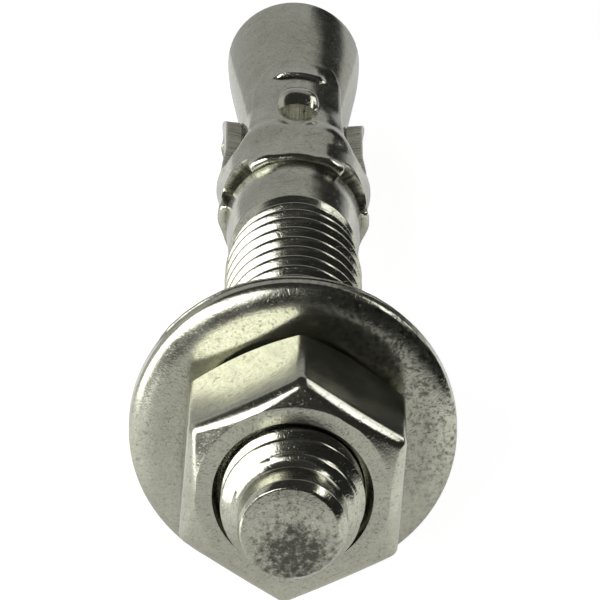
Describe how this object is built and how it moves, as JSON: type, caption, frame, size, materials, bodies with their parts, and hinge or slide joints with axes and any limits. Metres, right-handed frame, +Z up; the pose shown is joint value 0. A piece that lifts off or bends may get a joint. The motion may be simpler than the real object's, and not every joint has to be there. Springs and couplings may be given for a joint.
{
  "type": "wedge anchor",
  "caption": "Wedge anchor for concrete, lying loose: threaded stud with flared expander end, slotted expansion clip, flat washer and hex nut.",
  "frame": {"origin": "centre of the footprint, on the surface the anchor lies on", "axes": "+Z up; the stud points along Y, nut end towards -Y and expander end towards +Y, with its axis 5.69 degrees off level because it lies on the washer's rim and the expander's rim"},
  "size_m": [0.0218, 0.0782, 0.0217],
  "materials": {
    "stud_steel": "plain stainless steel, rolled and turned, faintly brushed",
    "clip_steel": "stamped stainless sheet, satin, with sheared edges",
    "washer_steel": "stamped stainless, bright with fine specks",
    "nut_steel": "cold-formed stainless, bright flats"
  },
  "bodies": {
    "stud": {"stud": "stud_steel"},
    "clip": {"expansion_clip": "clip_steel"},
    "washer": {"washer": "washer_steel"},
    "nut": {"hex_nut": "nut_steel"}
  },
  "joints": [
    {"name": "clip_spin", "type": "hinge", "parent": "stud", "child": "clip", "pos_m": [0, 0.01859, 0.00671], "axis": [0, 0.9951, -0.0991], "continuous": true},
    {"name": "washer_slide", "type": "slide", "parent": "stud", "child": "washer", "axis": [0, 0.9951, -0.0991], "range_m": [-0.004, 0.025]},
    {"name": "nut_spin", "type": "hinge", "parent": "washer", "child": "nut", "pos_m": [0, -0.02933, 0.01148], "axis": [0, 0.9951, -0.0991], "range_deg": [-920, 5690]}
  ],
  "couplings": [
    {"joint": "nut_spin", "follows": "washer_slide", "rad_per_m": 3957.9}
  ]
}
